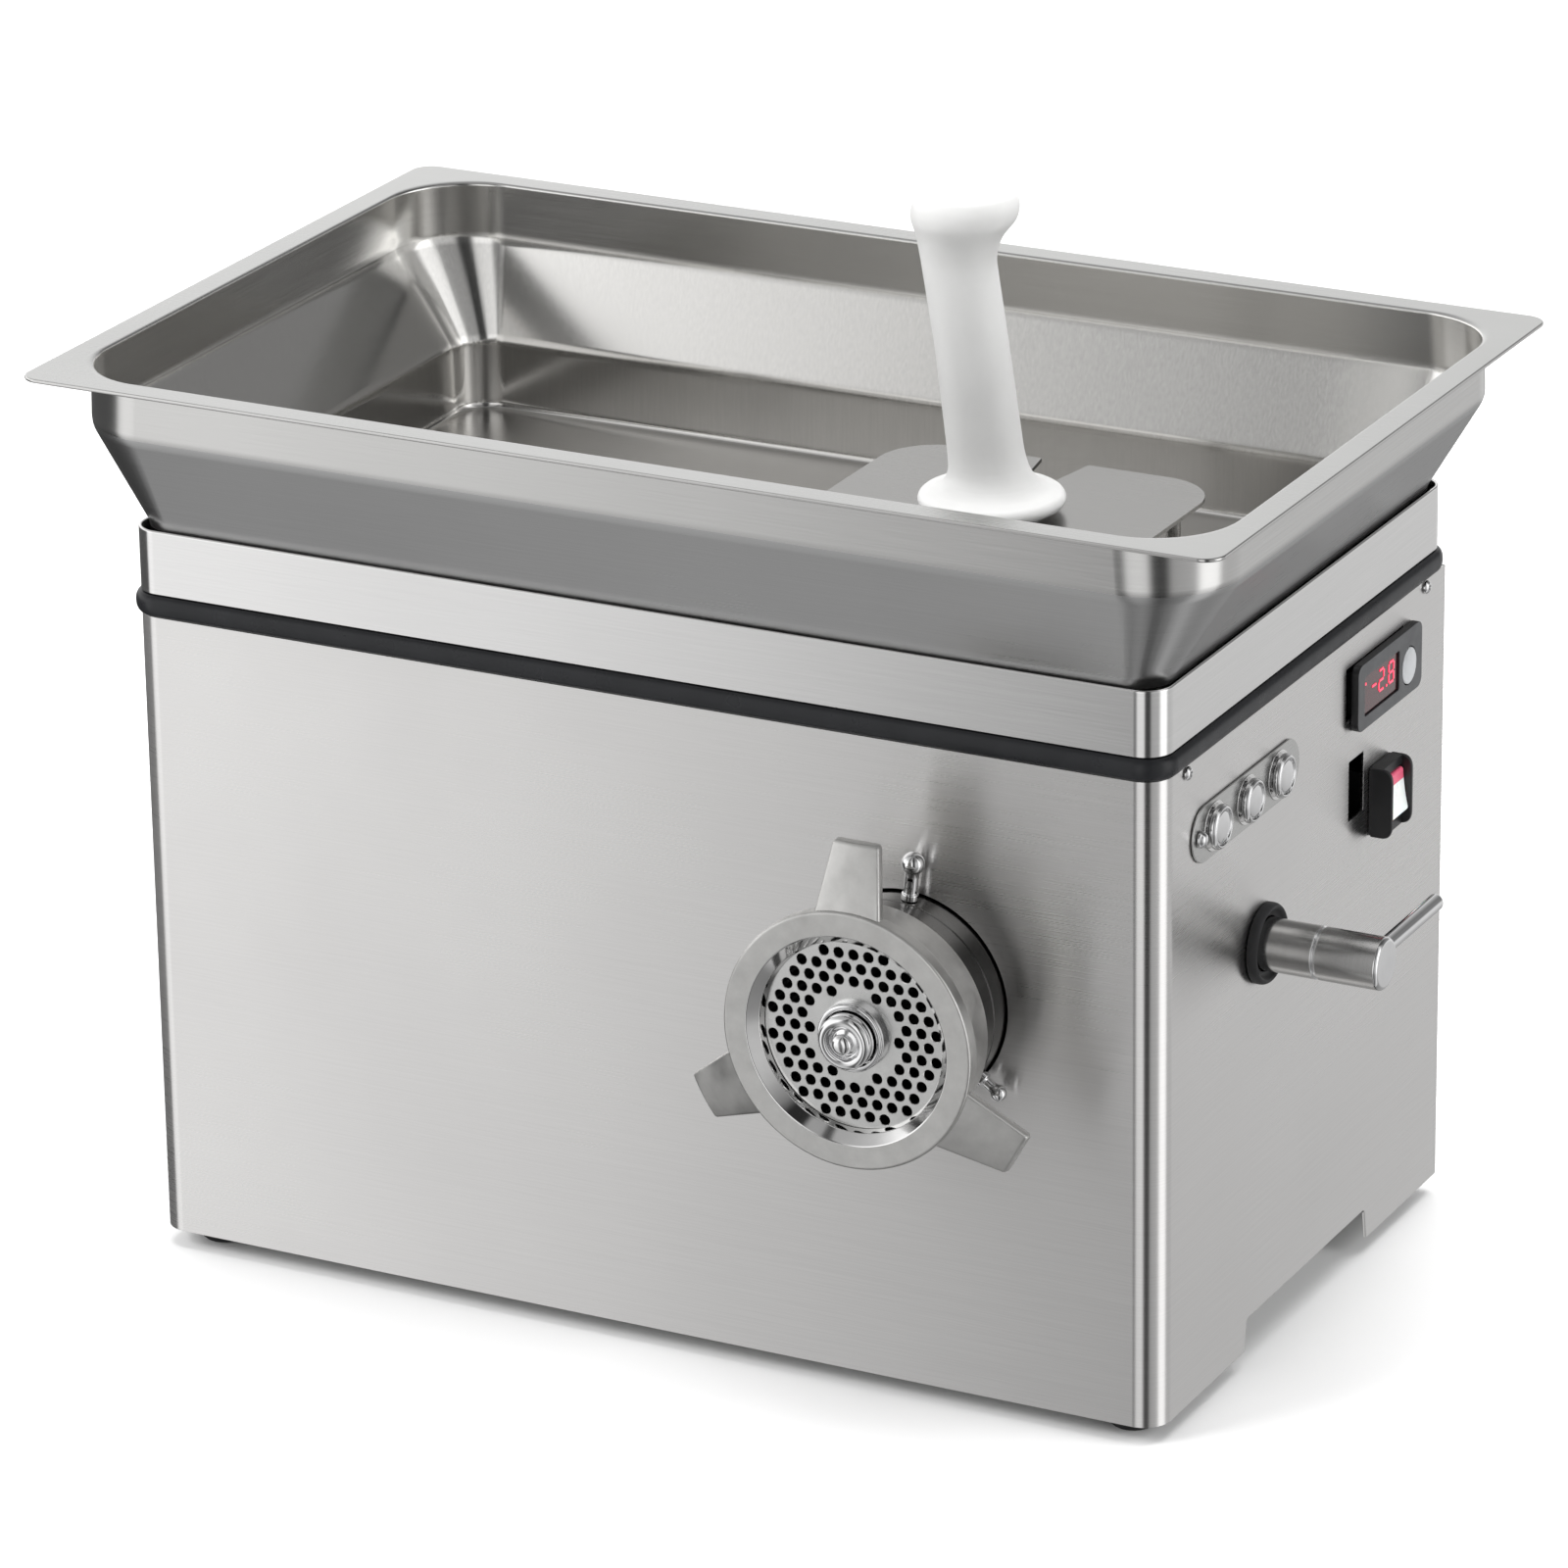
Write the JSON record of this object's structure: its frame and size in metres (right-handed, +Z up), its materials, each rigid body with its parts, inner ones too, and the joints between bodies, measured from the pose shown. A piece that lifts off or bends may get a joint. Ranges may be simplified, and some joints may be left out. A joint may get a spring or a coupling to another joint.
{
  "type": "electric meat grinder",
  "caption": "Chilled countertop meat grinder: steel box casing, wide hopper tray with guard and pestle, side-mounted controls and a front grinding head with a lugged ring nut.",
  "frame": {"origin": "on the surface the feet stand on, under the middle of the whole machine's box", "axes": "+X runs right along the front (the head side), +Y from the front to the back, +Z up"},
  "size_m": [0.6546, 0.434, 0.576],
  "materials": {
    "stainless": "bright brushed stainless sheet",
    "cast_steel": "tinned or polished casting, satin",
    "chrome": "polished",
    "tool_steel": "ground",
    "zinc_plated_steel": "zinc plated",
    "black_rubber": "matt",
    "black_plastic": "fine texture",
    "white_plastic": "translucent white polyethylene",
    "grey_plastic": "soft key pad",
    "display_glass": "dark red window",
    "grey_paint": "machine enamel",
    "black_paint": "stoved enamel",
    "aluminium": "plain",
    "copper": "plain copper or bronze",
    "board": "solder resist"
  },
  "bodies": {
    "root": {"casing_wrap": "stainless", "rear_panel": "stainless", "upper_casing": "stainless", "casing_gasket": "black_rubber", "base_plate": "zinc_plated_steel", "deck_plate": "zinc_plated_steel", "foot_front_left": "black_rubber", "foot_front_right": "black_rubber", "foot_rear_left": "black_rubber", "foot_rear_right": "black_rubber", "side_screw_front": "chrome", "side_screw_rear": "chrome", "head_socket": "aluminium", "head_seal": "black_rubber", "front_bearing": "tool_steel", "rear_bearing": "tool_steel", "shaft_seal": "black_rubber", "gearbox_housing": "grey_paint", "gearbox_cover": "grey_paint", "motor_housing": "grey_paint", "motor_cradle": "zinc_plated_steel", "compressor": "black_paint", "condenser": "aluminium", "fan_shroud": "black_plastic", "cooling_coil": "copper", "control_board": "board", "button_plate": "stainless", "indicator_lamp": "chrome", "thermostat_bezel": "black_plastic", "thermostat_window": "display_glass", "switch_frame": "black_plastic", "cable_gland": "black_plastic", "lever_collar": "black_rubber"},
    "tray": {"hopper_tray": "stainless", "feed_guard": "stainless", "feed_tube": "stainless"},
    "pestle": {"pestle": "white_plastic"},
    "head": {"grinder_barrel": "cast_steel", "head_knob_stud": "chrome", "locating_stud_left": "chrome", "locating_stud_right": "chrome"},
    "worm": {"worm": "cast_steel", "worm_stud": "chrome", "knife": "tool_steel", "thrust_washer": "copper"},
    "plate": {"grinding_plate": "tool_steel"},
    "ring": {"ring_nut": "cast_steel"},
    "gear": {"output_shaft": "tool_steel", "drive_gear": "tool_steel"},
    "rotor": {"motor_shaft": "tool_steel", "motor_pinion": "tool_steel"},
    "fan": {"condenser_fan": "black_plastic"},
    "start_button": {"start_button": "chrome"},
    "stop_button": {"stop_button": "chrome"},
    "reverse_button": {"reverse_button": "chrome"},
    "rocker": {"rocker_switch": "white_plastic"},
    "keys": {"thermostat_keys": "grey_plastic"},
    "lever": {"lever_shaft": "chrome", "lever_bar": "chrome"},
    "pad": {"clamp_pad": "tool_steel"}
  },
  "joints": [
    {"name": "tray_lift", "type": "slide", "parent": "root", "child": "tray", "axis": [0, 0, 1], "range_m": [0, 0.25]},
    {"name": "pestle_lift", "type": "slide", "parent": "tray", "child": "pestle", "axis": [0, 0, 1], "range_m": [0, 0.2]},
    {"name": "head_pull", "type": "slide", "parent": "root", "child": "head", "axis": [0, -1, 0], "range_m": [0, 0.18]},
    {"name": "worm_turn", "type": "hinge", "parent": "head", "child": "worm", "pos_m": [0.13225, -0.147, 0.2095], "axis": [0, 1, 0], "continuous": true},
    {"name": "plate_slide", "type": "slide", "parent": "head", "child": "plate", "axis": [0, -1, 0], "range_m": [0, 0.012]},
    {"name": "ring_nut_turn", "type": "hinge", "parent": "plate", "child": "ring", "pos_m": [0.13225, -0.197, 0.2095], "axis": [0, -1, 0], "range_deg": [0, 720]},
    {"name": "gear_spin", "type": "hinge", "parent": "root", "child": "gear", "pos_m": [0.13225, 0.033, 0.2095], "axis": [0, 1, 0], "continuous": true},
    {"name": "rotor_spin", "type": "hinge", "parent": "root", "child": "rotor", "pos_m": [0.05265, 0.033, 0.2095], "axis": [0, 1, 0], "continuous": true},
    {"name": "condenser_fan_spin", "type": "hinge", "parent": "root", "child": "fan", "pos_m": [-0.15475, 0.115, 0.133], "axis": [0, 1, 0], "continuous": true},
    {"name": "start_press", "type": "slide", "parent": "root", "child": "start_button", "axis": [-1, 0, 0], "range_m": [0, 0.0014], "stiffness_N_per_m": 800},
    {"name": "stop_press", "type": "slide", "parent": "root", "child": "stop_button", "axis": [-1, 0, 0], "range_m": [0, 0.0014], "stiffness_N_per_m": 800},
    {"name": "reverse_press", "type": "slide", "parent": "root", "child": "reverse_button", "axis": [-1, 0, 0], "range_m": [0, 0.0014], "stiffness_N_per_m": 800},
    {"name": "rocker_tilt", "type": "hinge", "parent": "root", "child": "rocker", "pos_m": [0.26375, 0.1078, 0.243], "axis": [0, 1, 0], "range_deg": [0, 16]},
    {"name": "keys_press", "type": "slide", "parent": "root", "child": "keys", "axis": [-1, 0, 0], "range_m": [0, 0.0006], "stiffness_N_per_m": 1500},
    {"name": "lever_turn", "type": "hinge", "parent": "root", "child": "lever", "pos_m": [0.29325, -0.031, 0.216], "axis": [1, 0, 0], "range_deg": [0, 90]},
    {"name": "pad_slide", "type": "slide", "parent": "root", "child": "pad", "axis": [1, 0, 0], "range_m": [0, 0.006]}
  ],
  "couplings": [
    {"joint": "worm_turn", "follows": "gear_spin", "ratio": 1},
    {"joint": "rotor_spin", "follows": "gear_spin", "ratio": -4.5},
    {"joint": "plate_slide", "follows": "ring_nut_turn", "m_per_rad": 0.00095493},
    {"joint": "pad_slide", "follows": "lever_turn", "m_per_rad": 0.0038197}
  ]
}
